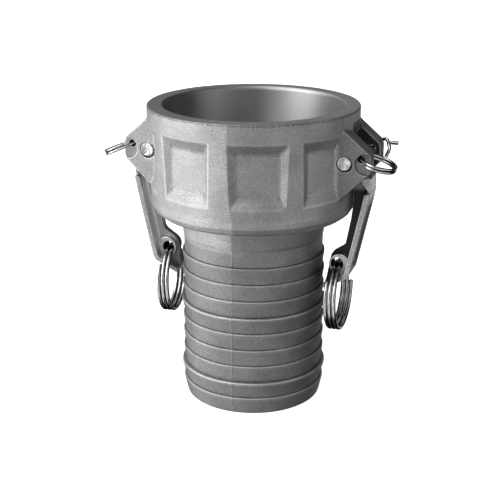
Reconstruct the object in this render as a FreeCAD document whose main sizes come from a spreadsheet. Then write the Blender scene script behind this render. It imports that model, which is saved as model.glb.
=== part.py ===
import FreeCAD, Part
import Sketcher
import math
import os

os.makedirs("parts", exist_ok=True)

# Cam and groove quick coupler with a barbed hose shank, 2 inch class.
# Frame: millimetres, +Z up, the hose end face lies on Z = 0 and the pipe axis is
# the Z axis.  The two cam arms lie on the X axis, one at +X and one at -X.

doc = FreeCAD.newDocument("coupler")

# ---------------------------------------------------------------- dimensions
sheet = doc.addObject("Spreadsheet::Sheet", "Sheet")
DIMS = [
    # socket head
    ("head_top", 110.0), ("rim_rad", 38.05), ("rim_edge", 0.35),
    ("head_low_rad", 36.95), ("head_low_z", 75.6), ("head_bottom", 70.3),
    ("head_base_rad", 31.7), ("socket_rad", 32.15), ("leadin_rad", 32.75),
    ("leadin_depth", 1.1), ("seat_z", 78.1), ("gasket_groove_rad", 33.6),
    ("groove_top", 84.9), ("seat_rad", 25.4), ("shank_bore_rad", 22.5),
    # barbed shank
    ("neck_rad", 25.9), ("neck_step_z", 62.6), ("neck_low_rad", 25.6),
    ("barb_top_z", 56.2), ("barb_pitch", 6.2), ("barb_rad", 26.25),
    ("barb_big_rad", 26.65), ("barb_last_rad", 26.9), ("valley_rad", 25.45),
    ("nose_rad", 24.7), ("nose_edge", 1.2),
    # cast pockets round the head
    ("pocket_top", 103.1), ("pocket_floor_top", 99.3), ("pocket_floor_low", 84.2),
    ("pocket_low", 80.3), ("pocket_floor_rad", 35.45), ("pocket_open_deg", 32.4),
    ("pocket_floor_deg", 23.6), ("pocket_open_ref", 38.0),
    # ears
    ("ear_half", 12.9), ("gap_half", 5.6), ("ear_in", 32.6), ("ear_out", 44.6),
    ("ear_top_root", 105.9), ("ear_top_out", 97.4), ("ear_end_top", 96.0),
    ("ear_end_low", 90.6), ("ear_low_out", 89.6), ("ear_low_root", 79.2),
    ("pivot_off", 36.2), ("pivot_z", 93.2), ("pin_hole_rad", 2.56),
    ("lock_off", 42.0), ("lock_z", 95.0), ("lock_hole_rad", 1.65),
    ("spot_off", 43.6), ("spot_z", 93.4), ("spot_rad", 3.7), ("spot_depth", 1.1),
    ("window_low", 84.7), ("window_top", 98.6), ("gap_drum", 37.95),
    # gasket
    ("gasket_in_rad", 25.4), ("gasket_out_rad", 33.35), ("gasket_thick", 6.35),
    # cam arm
    ("hub_rad", 3.7), ("cam_nose_off", 4.6), ("cam_nose_drop", 1.0),
    ("cam_nose_rad", 2.5), ("hub_half", 5.3), ("web_half", 1.6),
    ("flange_half", 6.5), ("arm_pin_rad", 2.62), ("eye_off", 32.45),
    ("eye_z", 53.9), ("eye_hole_rad", 2.36), ("eye_rad", 4.6), ("eye_half", 2.1),
    ("channel_half", 3.9), ("channel_deep", 0.6),
    # pins and rings
    ("pin_rad", 2.5), ("pin_length", 25.3), ("pin_edge", 0.35),
    ("pull_wire", 0.75), ("pull_mean", 12.3), ("pull_pitch", 1.57),
    ("pull_hang", 0.55), ("lock_wire", 0.53), ("lock_mean", 6.2),
    ("lock_pitch", 1.1), ("lock_shift", 0.62), ("lock_ring_off", 9.25),
    ("clip_wire", 0.62),
]
for i, (name, value) in enumerate(DIMS, start=1):
    sheet.set("A%d" % i, name)
    sheet.set("B%d" % i, repr(value))
    sheet.setAlias("B%d" % i, name)
doc.recompute()
D = {name: float(sheet.get(name)) for name, _ in DIMS}


def cell(text):
    """Turn words of an expression into references to the sheet's cells."""
    out, word = "", ""
    for ch in text + " ":
        if ch.isalnum() or ch == "_":
            word += ch
            continue
        if word:
            out += ("Sheet." + word) if word in D else word
            word = ""
        out += ch
    return out.strip()


def number(text):
    """Value of the same expression, used to place the first geometry."""
    total, sign, word = 0.0, 1.0, ""
    for ch in str(text).replace(" ", "") + "+":
        if ch in "+-" and word:
            factor = 1.0
            for piece in word.split("*"):
                factor *= D[piece] if piece in D else float(piece)
            total += sign * factor
            word, sign = "", (1.0 if ch == "+" else -1.0)
        elif ch in "+-":
            sign = sign if ch == "+" else -sign
        else:
            word += ch
    return total


def origin_plane(body, role):
    for f in body.Origin.OriginFeatures:
        if f.Role == role:
            return f
    raise RuntimeError(role)


def new_sketch(body, name, role="XZ_Plane"):
    sk = body.newObject("Sketcher::SketchObject", name)
    sk.AttachmentSupport = [(origin_plane(body, role), "")]
    sk.MapMode = "FlatFace"
    return sk


def polygon(sk, points):
    """Closed outline.  Each corner is a pair of numbers or cell expressions."""
    vals = [(number(x), number(y)) for x, y in points]
    n = len(vals)
    first = sk.GeometryCount
    for i in range(n):
        a, b = vals[i], vals[(i + 1) % n]
        sk.addGeometry(Part.LineSegment(FreeCAD.Vector(a[0], a[1], 0),
                                        FreeCAD.Vector(b[0], b[1], 0)), False)
    for i in range(n):
        sk.addConstraint(Sketcher.Constraint("Coincident", first + i, 2,
                                             first + (i + 1) % n, 1))
    for i in range(n):
        for kind, k in (("DistanceX", 0), ("DistanceY", 1)):
            c = sk.addConstraint(Sketcher.Constraint(kind, first + i, 1, vals[i][k]))
            src = str(points[i][k])
            if any(ch.isalpha() for ch in src):
                sk.setExpression("Constraints[%d]" % c, cell(src))


def circle(sk, x, y, rad):
    g = sk.addGeometry(Part.Circle(FreeCAD.Vector(number(x), number(y), 0),
                                   FreeCAD.Vector(0, 0, 1), number(rad)), False)
    for kind, src in (("DistanceX", x), ("DistanceY", y)):
        c = sk.addConstraint(Sketcher.Constraint(kind, g, 3, number(src)))
        if any(ch.isalpha() for ch in str(src)):
            sk.setExpression("Constraints[%d]" % c, cell(str(src)))
    c = sk.addConstraint(Sketcher.Constraint("Radius", g, number(rad)))
    if any(ch.isalpha() for ch in str(rad)):
        sk.setExpression("Constraints[%d]" % c, cell(str(rad)))


def pad(body, sk, name, half):
    f = body.newObject("PartDesign::Pad", name)
    f.Profile = sk
    f.Midplane = True
    f.Length = 2 * number(half)
    f.setExpression("Length", "2 * " + cell(half))
    return f


def pocket(body, sk, name, half):
    f = body.newObject("PartDesign::Pocket", name)
    f.Profile = sk
    f.Midplane = True
    f.Length = 2 * number(half)
    f.setExpression("Length", "2 * " + cell(half))
    return f


def revolve(body, sk, name):
    f = body.newObject("PartDesign::Revolution", name)
    f.Profile = sk
    f.ReferenceAxis = (sk, ["V_Axis"])
    f.Angle = 360.0
    return f


# ------------------------------------------------------------- coupler body
# Turned outline of the casting: socket head, neck and nine hose barbs.
core = doc.addObject("PartDesign::Body", "casting_core")
sk = new_sketch(core, "casting_outline")
outline = [
    ("socket_rad", "seat_z - 0.2"),
    ("socket_rad", "head_top - leadin_depth"),
    ("leadin_rad", "head_top"),
    ("rim_rad - rim_edge", "head_top"),
    ("rim_rad", "head_top - rim_edge"),
    ("rim_rad", "head_top - 4.0"),
    ("head_low_rad", "head_low_z"),
    ("head_low_rad - 0.38", "head_low_z - 1.9"),
    ("head_low_rad - 1.45", "head_low_z - 3.6"),
    ("head_low_rad - 3.0", "head_low_z - 4.75"),
    ("head_base_rad + 0.5", "head_bottom"),
    ("neck_rad + 0.5", "head_bottom"),
    ("neck_rad", "head_bottom - 0.5"),
    ("neck_rad", "neck_step_z"),
    ("neck_low_rad", "neck_step_z - 0.35"),
    ("valley_rad", "barb_top_z + 0.35"),
]
for i in range(9):
    big = {3: "barb_big_rad", 7: "barb_last_rad"}.get(i, "barb_rad")
    z = "barb_top_z - %d*barb_pitch" % i if i else "barb_top_z"
    outline += [("valley_rad", z),
                (big + " - 0.28", z + " - 0.05"),
                (big, z + " - 0.45"),
                (big, z + " - 1.0")]
    if i < 8:
        outline.append(("valley_rad", z + " - barb_pitch + 0.35"))
outline += [
    ("nose_rad + 0.55", "nose_edge"),
    ("nose_rad + 0.3", "0.45"),
    ("nose_rad - 0.35", "0"),
    ("shank_bore_rad + 0.6", "0"),
    ("shank_bore_rad", "0.6"),
    ("shank_bore_rad", "seat_z - 0.2"),
]
polygon(sk, outline)
revolve(core, sk, "casting_turned")

# Cast pockets: a sunk panel with sloping sides, four on each side of the head.
# The floor follows the head, so each cutter is a ring of trapezoid section
# met by a tapered prism.
pocket_parts = []
ring_w = Part.makePolygon([FreeCAD.Vector(r, 0, z) for r, z in (
    (D["pocket_floor_rad"], D["pocket_floor_low"]),
    (D["pocket_floor_rad"], D["pocket_floor_top"]),
    (D["pocket_open_ref"] + 2.0, D["pocket_top"] + 2.0 * (D["pocket_top"] - D["pocket_floor_top"]) / (D["pocket_open_ref"] - D["pocket_floor_rad"])),
    (D["pocket_open_ref"] + 2.0, D["pocket_low"] - 2.0 * (D["pocket_floor_low"] - D["pocket_low"]) / (37.3 - D["pocket_floor_rad"])),
    (D["pocket_floor_rad"], D["pocket_floor_low"]))])
pocket_ring = Part.Face(ring_w).revolve(FreeCAD.Vector(0, 0, 0), FreeCAD.Vector(0, 0, 1), 360)


def polar(r, a, z=0.0):
    return FreeCAD.Vector(r * math.cos(math.radians(a)), r * math.sin(math.radians(a)), z)


def pocket_cutter(centre):
    ho, hf = D["pocket_open_deg"] / 2, D["pocket_floor_deg"] / 2
    r0, r1 = D["pocket_floor_rad"], D["pocket_open_ref"]
    pts = []
    for s in (-1, 1):
        a = polar(r0, centre + s * hf)
        b = polar(r1, centre + s * ho)
        out = b + (b - a) * 1.1
        inn = a - (b - a) * 0.15
        pts.append((inn, out))
    loop = [pts[0][0], pts[0][1], pts[1][1], pts[1][0], pts[0][0]]
    face = Part.Face(Part.makePolygon(loop))
    face.translate(FreeCAD.Vector(0, 0, 70))
    prism = face.extrude(FreeCAD.Vector(0, 0, 45))
    return pocket_ring.common(prism)


# angles measured from the +X ear, seen from above
for centre in (-30.8, -70.8, -112.3, -152.2):
    for side in (1, -1):
        pocket_parts.append(pocket_cutter(centre * side))
pockets = doc.addObject("Part::Feature", "pocket_cutters")
pockets.Shape = Part.makeCompound(pocket_parts)
pockets.Placement = FreeCAD.Placement()

cored = doc.addObject("Part::Cut", "casting_with_pockets")
cored.Base = core
cored.Tool = pockets

# Ears: two plates on each side, with the slot for the cam arm between them.
ears = doc.addObject("PartDesign::Body", "ears")
sk = new_sketch(ears, "ear_outline")
for s in ("", "-"):
    def sx(t):
        return t if not s else "-1*" + t
    pts = [("ear_in", "ear_low_root"), ("33.9", "ear_low_root"),
           ("ear_out", "ear_end_low"),
           ("ear_out", "ear_end_top"),
           ("43.9", "ear_top_out"),
           ("34.4", "ear_top_root"),
           ("ear_in", "ear_top_root")]
    polygon(sk, [(sx(a), b) for a, b in pts])
pad(ears, sk, "ear_plates", "ear_half")
# slot between the two plates, down to the head's own wall
sk = new_sketch(ears, "slot_outline")
for s in ("", "-1*"):
    polygon(sk, [(s + "gap_drum", "76"), (s + "50", "76"), (s + "50", "112"),
                 (s + "gap_drum", "112")])
pocket(ears, sk, "arm_slot", "gap_half")
# lock holes through both plates
sk = new_sketch(ears, "hole_outline")
for s in ("", "-1*"):
    circle(sk, s + "lock_off", "lock_z", "lock_hole_rad")
pocket(ears, sk, "lock_holes", "ear_half + 2")

fused = doc.addObject("Part::Fuse", "casting_with_ears")
fused.Base = cored
fused.Tool = ears

# Machined inside: gasket recess, seat cone, and the two windows for the cams.
inside = doc.addObject("PartDesign::Body", "inside_cut")
sk = new_sketch(inside, "recess_outline")
polygon(sk, [("10", "seat_z - 3.4"), ("shank_bore_rad", "seat_z - 3.4"),
             ("seat_rad", "seat_z"), ("gasket_groove_rad", "seat_z"),
             ("gasket_groove_rad", "groove_top - 0.5"),
             ("socket_rad", "groove_top + 0.9"),
             ("socket_rad", "head_top - leadin_depth"),
             ("10", "head_top - leadin_depth")])
revolve(inside, sk, "socket_recess")
windows = []
for s in (1, -1):
    w = doc.addObject("Part::Box", "cam_window_%s" % ("right" if s > 0 else "left"))
    w.Length = 11.0
    w.Width = 2 * D["gap_half"]
    w.setExpression("Width", "2 * Sheet.gap_half")
    w.Height = D["window_top"] - D["window_low"]
    w.setExpression("Height", "Sheet.window_top - Sheet.window_low")
    w.Placement.Base = FreeCAD.Vector(28.0 if s > 0 else -39.0, -D["gap_half"], D["window_low"])
    windows.append(w)
# shallow round seat on the outer face of each ear, round the lock hole
spots = []
for s in (1, -1):
    for f in (1, -1):
        c = doc.addObject("Part::Cylinder", "spot_face_%s_%s" % ("right" if s > 0 else "left", "front" if f < 0 else "back"))
        c.setExpression("Radius", "Sheet.spot_rad")
        c.Height = 6.0
        y = f * (D["ear_half"] - D["spot_depth"])
        # the cylinder runs outwards from the floor of the seat
        rot = FreeCAD.Rotation(FreeCAD.Vector(1, 0, 0), -90 if f > 0 else 90)
        c.Placement = FreeCAD.Placement(FreeCAD.Vector(s * D["spot_off"], y, D["spot_z"]), rot)
        spots.append(c)
# pivot pin holes, drilled through ears and wall together
drills = []
for s in (1, -1):
    c = doc.addObject("Part::Cylinder", "pivot_drill_%s" % ("right" if s > 0 else "left"))
    c.setExpression("Radius", "Sheet.pin_hole_rad")
    c.setExpression("Height", "2 * Sheet.ear_half + 4")
    c.Placement = FreeCAD.Placement(
        FreeCAD.Vector(s * D["pivot_off"], D["ear_half"] + 2, D["pivot_z"]),
        FreeCAD.Rotation(FreeCAD.Vector(1, 0, 0), 90))
    drills.append(c)
cutters = doc.addObject("Part::MultiFuse", "inside_cutters")
cutters.Shapes = [inside] + windows + spots + drills
machined = doc.addObject("Part::Cut", "coupler_body")
machined.Base = fused
machined.Tool = cutters
machined.Label = "coupler_body"

# ------------------------------------------------------------------- gasket
gasket = doc.addObject("PartDesign::Body", "socket_gasket")
sk = new_sketch(gasket, "gasket_section")
e = 0.7
polygon(sk, [("gasket_in_rad + %s" % e, "seat_z"), ("gasket_out_rad - %s" % e, "seat_z"),
             ("gasket_out_rad - 0.2", "seat_z + 0.2"),
             ("gasket_out_rad", "seat_z + %s" % e),
             ("gasket_out_rad", "seat_z + gasket_thick - %s" % e),
             ("gasket_out_rad - 0.2", "seat_z + gasket_thick - 0.2"),
             ("gasket_out_rad - %s" % e, "seat_z + gasket_thick"),
             ("gasket_in_rad + %s" % e, "seat_z + gasket_thick"),
             ("gasket_in_rad + 0.2", "seat_z + gasket_thick - 0.2"),
             ("gasket_in_rad", "seat_z + gasket_thick - %s" % e),
             ("gasket_in_rad", "seat_z + %s" % e),
             ("gasket_in_rad + 0.2", "seat_z + 0.2")])
revolve(gasket, sk, "gasket_ring")
gasket.Label = "socket_gasket"

# ----------------------------------------------------------------- cam arms
# Drawn closed, as the right hand arm: the handle hangs beside the shank and the
# cam nose stands in the socket bore.  The left arm is the same piece turned
# half a turn about the pipe axis.
OUTER = [(44.25, 83.0), (43.3, 76.5), (37.6, 50.8), (36.5, 49.2), (28.4, 45.0)]


def edges_along_y(shape, x, z, tol=0.35):
    found = []
    for i, ed in enumerate(shape.Edges, start=1):
        if len(ed.Vertexes) != 2:
            continue
        a, b = ed.Vertexes[0].Point, ed.Vertexes[1].Point
        if abs(a.x - b.x) < 1e-4 and abs(a.z - b.z) < 1e-4:
            if math.hypot(a.x - x, a.z - z) < tol:
                found.append("Edge%d" % i)
    return found


def make_arm(label, turned):
    body = doc.addObject("PartDesign::Body", label)
    # web of the handle, with its hub and ring eye
    sk = new_sketch(body, label + "_web_outline")
    web = [("39.2", "94.8"), ("42.2", "89.6"), ("43.7", "87.3"), ("44.1", "86.2"), ("44.25", "83.0"),
           ("43.3", "76.5"), ("37.6", "50.8"), ("36.5", "49.2"), ("28.4", "45.0"),
           ("28.0", "46.4"), ("30.0", "57.3"), ("34.9", "60.6"), ("36.95", "70.2"),
           ("38.9", "79.5"), ("38.2", "84.9"), ("34.6", "89.9"), ("36.2", "93.2")]
    polygon(sk, web)
    p = pad(body, sk, label + "_web", "web_half")
    doc.recompute()
    names = edges_along_y(p.Shape, 30.0, 57.3) + edges_along_y(p.Shape, 34.9, 60.6)
    fl = body.newObject("PartDesign::Fillet", label + "_web_rounds")
    fl.Base = (p, names)
    fl.Radius = 3.0
    # hub and cam nose, as wide as the slot between the ears
    sk = new_sketch(body, label + "_hub_outline")
    circle(sk, "pivot_off", "pivot_z", "hub_rad")
    pad(body, sk, label + "_hub", "hub_half")
    sk = new_sketch(body, label + "_nose_outline")
    circle(sk, "pivot_off - cam_nose_off", "pivot_z - cam_nose_drop", "cam_nose_rad")
    pad(body, sk, label + "_nose", "hub_half")
    sk = new_sketch(body, label + "_cam_outline")
    hx, hz, hr = D["pivot_off"], D["pivot_z"], D["hub_rad"]
    nx, nz, nr = hx - D["cam_nose_off"], hz - D["cam_nose_drop"], D["cam_nose_rad"]
    # corners lie on the common tangents of the hub and the nose
    dx, dz = nx - hx, nz - hz
    dist = math.hypot(dx, dz)
    base = math.atan2(dz, dx)
    spread = math.acos((hr - nr) / dist)
    c = []
    for sgn in (-1, 1):
        t = base + sgn * spread
        c.append(((hx + hr * math.cos(t), hz + hr * math.sin(t)),
                  (nx + nr * math.cos(t), nz + nr * math.sin(t))))
    loop = [c[0][0], c[0][1], c[1][1], c[1][0]]
    polygon(sk, [("%.6f" % a, "%.6f" % b) for a, b in loop])
    pad(body, sk, label + "_cam", "hub_half")
    # knee block under the ears
    sk = new_sketch(body, label + "_knee_outline")
    polygon(sk, [("40.5", "85.5"), ("43.3", "86.1"), ("44.05", "85.5"), ("44.25", "83.0"),
                 ("43.62", "78.6"), ("42.5", "78.9"), ("43.1", "82.3"), ("41.3", "84.4")])
    pad(body, sk, label + "_knee", "hub_half")
    # outer flange, which wraps round the lower end
    sk = new_sketch(body, label + "_flange_outline")
    polygon(sk, [("44.2", "81.6"), ("43.3", "76.5"), ("37.6", "50.8"), ("36.5", "49.2"),
                 ("28.4", "45.0"), ("28.05", "46.6"), ("34.9", "50.25"),
                 ("35.75", "51.4"), ("41.35", "76.9"), ("42.1", "81.0")])
    pad(body, sk, label + "_flange", "flange_half")
    # raised eye round the ring hole
    sk = new_sketch(body, label + "_eye_outline")
    circle(sk, "eye_off + 0.95", "eye_z - 0.1", "eye_rad - 0.7")
    pad(body, sk, label + "_eye", "eye_half")
    # pin hole and ring hole
    sk = new_sketch(body, label + "_hole_outline")
    circle(sk, "pivot_off", "pivot_z", "arm_pin_rad")
    circle(sk, "eye_off", "eye_z", "eye_hole_rad")
    pocket(body, sk, label + "_holes", "flange_half + 2")
    # long shallow channel in the outer face of the handle
    sk = new_sketch(body, label + "_channel_outline")
    polygon(sk, [("43.9", "76.6"), ("38.45", "52.2"), ("36.9 + 0.05", "53.6"),
                 ("42.35", "75.4")])
    ch = pocket(body, sk, label + "_channel", "channel_half")
    body.Label = label
    if turned:
        body.Placement = FreeCAD.Placement(FreeCAD.Vector(0, 0, 0),
                                           FreeCAD.Rotation(FreeCAD.Vector(0, 0, 1), 180))
    return body


arm_right = make_arm("cam_arm_right", False)
arm_left = make_arm("cam_arm_left", True)

# --------------------------------------------------------------- pivot pins


def make_pin(label, side):
    body = doc.addObject("PartDesign::Body", label)
    sk = new_sketch(body, label + "_outline")
    circle(sk, "pivot_off", "pivot_z", "pin_rad")
    f = pad(body, sk, label + "_shaft", "0.5*pin_length")
    doc.recompute()
    names = []
    for i, ed in enumerate(f.Shape.Edges, start=1):
        if ed.Curve.TypeId == "Part::GeomCircle":
            names.append("Edge%d" % i)
    ch = body.newObject("PartDesign::Chamfer", label + "_edges")
    ch.Base = (f, names)
    ch.Size = D["pin_edge"]
    ch.setExpression("Size", "Sheet.pin_edge")
    body.Label = label
    if side < 0:
        body.Placement = FreeCAD.Placement(FreeCAD.Vector(0, 0, 0),
                                           FreeCAD.Rotation(FreeCAD.Vector(0, 0, 1), 180))
    return body


pin_right = make_pin("pivot_pin_right", 1)
pin_left = make_pin("pivot_pin_left", -1)

# -------------------------------------------------------------- split rings
# Each ring is one wire wound round a few times, so it is a short helix.


def make_ring(label, mean, wire, pitch, turns, placement, start=0.0):
    # the helix goes round in spans of about a third of a turn each
    height = pitch * turns
    spans = int(math.ceil(turns * 3))
    edges = []
    for i in range(spans):
        span = Part.makeHelix(pitch, height / spans, mean)
        span.rotate(FreeCAD.Vector(0, 0, 0), FreeCAD.Vector(0, 0, 1), 360.0 * turns * i / spans)
        span.translate(FreeCAD.Vector(0, 0, height * (float(i) / spans - 0.5)))
        edges += span.Edges
    # the section stands square to the start of the wire
    v0 = edges[0].valueAt(edges[0].FirstParameter)
    t0 = edges[0].tangentAt(edges[0].FirstParameter)
    ring = Part.Wire([Part.makeCircle(wire, v0, t0)])
    pipe = Part.Wire(edges).makePipeShell([ring], True, True)
    if pipe.Volume < 0:
        pipe.reverse()
    f = doc.addObject("Part::Feature", label)
    f.Shape = pipe
    # the wire starts at this angle round the ring
    f.Placement = placement.multiply(FreeCAD.Placement(
        FreeCAD.Vector(0, 0, 0), FreeCAD.Rotation(FreeCAD.Vector(0, 0, 1), start)))
    f.Label = label
    expect = math.pi * wire ** 2 * 2 * math.pi * mean * turns
    print(label, "volume %.1f expected %.1f" % (pipe.Volume, expect))
    return f


def frame(origin, zdir, xdir):
    z = FreeCAD.Vector(zdir).normalize()
    x = FreeCAD.Vector(xdir)
    x = (x - z * x.dot(z)).normalize()
    y = z.cross(x)
    m = FreeCAD.Matrix(x.x, y.x, z.x, origin.x,
                       x.y, y.y, z.y, origin.y,
                       x.z, y.z, z.z, origin.z, 0, 0, 0, 1)
    return FreeCAD.Placement(m)


def pull_ring(label, side, yaw, sweep):
    drop = D["pull_mean"] + D["pull_hang"]
    c = FreeCAD.Vector(side * D["eye_off"], 0, D["eye_z"] - drop)
    axis = FreeCAD.Vector(math.cos(math.radians(yaw)), math.sin(math.radians(yaw)), 0)
    # the wire starts 50 degrees past the eye and stops short of it, so two turns pass it
    return make_ring(label, D["pull_mean"], D["pull_wire"], D["pull_pitch"], sweep / 360.0,
                     frame(c, axis, FreeCAD.Vector(0, 0, 1)), 50.0)


ring_right = pull_ring("pull_ring_right", 1, 0.0, 947.0)
ring_left = pull_ring("pull_ring_left", -1, 6.0, 980.0)


def lock_ring(label, side, droop):
    d = math.radians(droop)
    out = FreeCAD.Vector(side * math.cos(d), 0, -math.sin(d))
    hole = FreeCAD.Vector(side * D["lock_off"], -D["lock_ring_off"], D["lock_z"])
    c = hole + out * (D["lock_mean"] - D["lock_shift"])
    axis = out.cross(FreeCAD.Vector(0, 1, 0))
    # one turn passes the lock hole, and both ends stop 60 degrees short of it
    return make_ring(label, D["lock_mean"], D["lock_wire"], D["lock_pitch"], 600.0 / 360.0,
                     frame(c, axis, out), 240.0)


lock_right = lock_ring("lock_ring_right", 1, 16.5)
lock_left = lock_ring("lock_ring_left", -1, 22.0)

# --------------------------------------------------------------- lock pins
# A bent wire pin.  Its straight leg stands in the lock hole of the rear ear and
# its bow goes round the outer end of that ear.


def rounded_path(points, radius):
    edges, last = [], points[0]
    for i in range(1, len(points) - 1):
        p = points[i]
        a = (points[i - 1] - p).normalize()
        b = (points[i + 1] - p).normalize()
        half = math.acos(max(-1, min(1, a.dot(b)))) / 2
        reach = min(radius / math.tan(half),
                    0.46 * min((points[i - 1] - p).Length, (points[i + 1] - p).Length))
        r = reach * math.tan(half)
        start, end = p + a * reach, p + b * reach
        mid_dir = (a + b).normalize()
        centre = p + mid_dir * (r / math.sin(half))
        mid = centre - mid_dir * r
        edges.append(Part.LineSegment(last, start).toShape())
        edges.append(Part.Arc(start, mid, end).toShape())
        last = end
    edges.append(Part.LineSegment(last, points[-1]).toShape())
    return Part.Wire(edges)


def lock_pin(label, side):
    w = D["clip_wire"]

    def v(u, off, z):
        return FreeCAD.Vector(side * u, -off, z)
    hu, hz = D["lock_off"], D["lock_z"]
    path = rounded_path([v(hu, -6.1, hz), v(hu, -15.4, hz), v(45.6, -15.7, 97.2),
                         v(48.0, -12.2, 95.0), v(48.6, -9.6, 94.5), v(46.7, -7.75, 93.6)], 1.5)
    first = path.Edges[0]
    circ = Part.Wire([Part.makeCircle(w, first.valueAt(first.FirstParameter),
                                      first.tangentAt(first.FirstParameter))])
    body = path.makePipeShell([circ], True, True)
    a, b = v(46.0, -14.3, 96.2), v(50.3, -12.9, 96.0)
    stub = Part.makeCylinder(w, (b - a).Length, a, b - a)
    tip = Part.makeSphere(w, b)
    shape = body.fuse([stub, tip]).removeSplitter()
    f = doc.addObject("Part::Feature", label)
    f.Shape = shape
    f.Placement = FreeCAD.Placement()
    f.Label = label
    return f


clip_right = lock_pin("lock_pin_right", 1)
clip_left = lock_pin("lock_pin_left", -1)

# ------------------------------------------------------------------- output
doc.recompute()
PARTS = [machined, gasket, arm_right, arm_left, pin_right, pin_left,
         ring_right, ring_left, lock_right, lock_left, clip_right, clip_left]
bad = []
for obj in doc.Objects:
    state = [s for s in obj.State if s in ("Invalid", "Error")]
    if state:
        bad.append("%s %s" % (obj.Name, state))
for obj in PARTS:
    shp = obj.Shape
    if shp.isNull() or not shp.isValid() or not shp.Solids:
        bad.append("%s shape" % obj.Label)
if bad:
    raise RuntimeError("; ".join(bad))
for obj in PARTS:
    shp = obj.Shape
    print("%-18s solids %d faces %d volume %.0f box %s" % (
        obj.Label, len(shp.Solids), len(shp.Faces), shp.Volume,
        [round(v, 2) for v in (shp.BoundBox.XMin, shp.BoundBox.XMax, shp.BoundBox.YMin,
                               shp.BoundBox.YMax, shp.BoundBox.ZMin, shp.BoundBox.ZMax)]))
    shp.exportStep("parts/%s.step" % obj.Label)
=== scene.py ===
import math

import bpy
import numpy as np
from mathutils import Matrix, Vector


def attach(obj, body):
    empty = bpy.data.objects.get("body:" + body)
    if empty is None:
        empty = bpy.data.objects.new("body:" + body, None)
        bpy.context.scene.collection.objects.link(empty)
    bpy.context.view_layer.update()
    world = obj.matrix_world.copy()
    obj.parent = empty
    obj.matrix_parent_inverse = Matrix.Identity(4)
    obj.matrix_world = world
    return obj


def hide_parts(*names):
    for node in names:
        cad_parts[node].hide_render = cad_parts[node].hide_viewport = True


# Cam and groove quick coupler with a barbed hose shank.
# Lengths in this script are millimetres until a mesh is made, which is in metres.

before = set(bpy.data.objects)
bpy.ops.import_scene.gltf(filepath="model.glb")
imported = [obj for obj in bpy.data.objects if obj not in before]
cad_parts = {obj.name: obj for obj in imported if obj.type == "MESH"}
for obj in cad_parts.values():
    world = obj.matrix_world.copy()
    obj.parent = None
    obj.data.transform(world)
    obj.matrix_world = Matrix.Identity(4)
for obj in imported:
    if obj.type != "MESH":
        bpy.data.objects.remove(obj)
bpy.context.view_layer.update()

GRID_HEAD = 0.3
GRID_ARM = 0.17


# ---------------------------------------------------------------- mesh tools
def make_object(name, verts, quads, tris=None, attrs=None):
    """Smooth shaded mesh object from arrays of corners in millimetres."""
    me = bpy.data.meshes.new(name)
    verts = np.asarray(verts, np.float32) * 0.001
    quads = np.asarray(quads, np.int32).reshape(-1, 4)
    tris = np.zeros((0, 3), np.int32) if tris is None else np.asarray(tris, np.int32).reshape(-1, 3)
    loops = np.concatenate([quads.ravel(), tris.ravel()])
    nq, nt = len(quads), len(tris)
    starts = np.concatenate([np.arange(nq) * 4, nq * 4 + np.arange(nt) * 3]).astype(np.int32)
    me.vertices.add(len(verts))
    me.vertices.foreach_set("co", verts.ravel())
    me.loops.add(len(loops))
    me.loops.foreach_set("vertex_index", loops)
    me.polygons.add(nq + nt)
    me.polygons.foreach_set("loop_start", starts)
    me.update(calc_edges=True)
    me.validate(clean_customdata=False)
    me.polygons.foreach_set("use_smooth", np.ones(len(me.polygons), bool))
    for key, values in (attrs or {}).items():
        a = me.attributes.new(key, "FLOAT", "POINT")
        a.data.foreach_set("value", np.asarray(values, np.float32))
    me.update()
    ob = bpy.data.objects.new(name, me)
    bpy.context.scene.collection.objects.link(ob)
    return ob


def poly_sdf(px, py, poly):
    """Signed distance to a closed outline, negative inside."""
    px, py = np.asarray(px, np.float64), np.asarray(py, np.float64)
    best = np.full(px.shape, 1e18)
    inside = np.zeros(px.shape, bool)
    n = len(poly)
    for i in range(n):
        ax, ay = poly[i]
        bx, by = poly[(i + 1) % n]
        ex, ey = bx - ax, by - ay
        ll = ex * ex + ey * ey
        if ll < 1e-14:
            continue
        t = np.clip(((px - ax) * ex + (py - ay) * ey) / ll, 0, 1)
        d = (px - ax - t * ex) ** 2 + (py - ay - t * ey) ** 2
        best = np.minimum(best, d)
        if ay != by:
            cross = (ay > py) != (by > py)
            xi = ax + (py - ay) * ex / ey
            inside ^= cross & (px < xi)
    return np.where(inside, -1.0, 1.0) * np.sqrt(best)


def shrink(poly, amount):
    """The same outline moved inwards, corners kept sharp."""
    area = sum(poly[i][0] * poly[(i + 1) % len(poly)][1] - poly[(i + 1) % len(poly)][0] * poly[i][1]
               for i in range(len(poly)))
    sign = 1.0 if area > 0 else -1.0
    out = []
    n = len(poly)
    for i in range(n):
        p0, p1, p2 = poly[i - 1], poly[i], poly[(i + 1) % n]
        d1 = np.array([p1[0] - p0[0], p1[1] - p0[1]], float)
        d2 = np.array([p2[0] - p1[0], p2[1] - p1[1]], float)
        d1 /= np.linalg.norm(d1)
        d2 /= np.linalg.norm(d2)
        n1 = sign * np.array([-d1[1], d1[0]])
        n2 = sign * np.array([-d2[1], d2[0]])
        m = n1 + n2
        m = m / max(1e-9, m @ m) * 2
        out.append((p1[0] + m[0] * amount, p1[1] + m[1] * amount))
    return out


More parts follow.
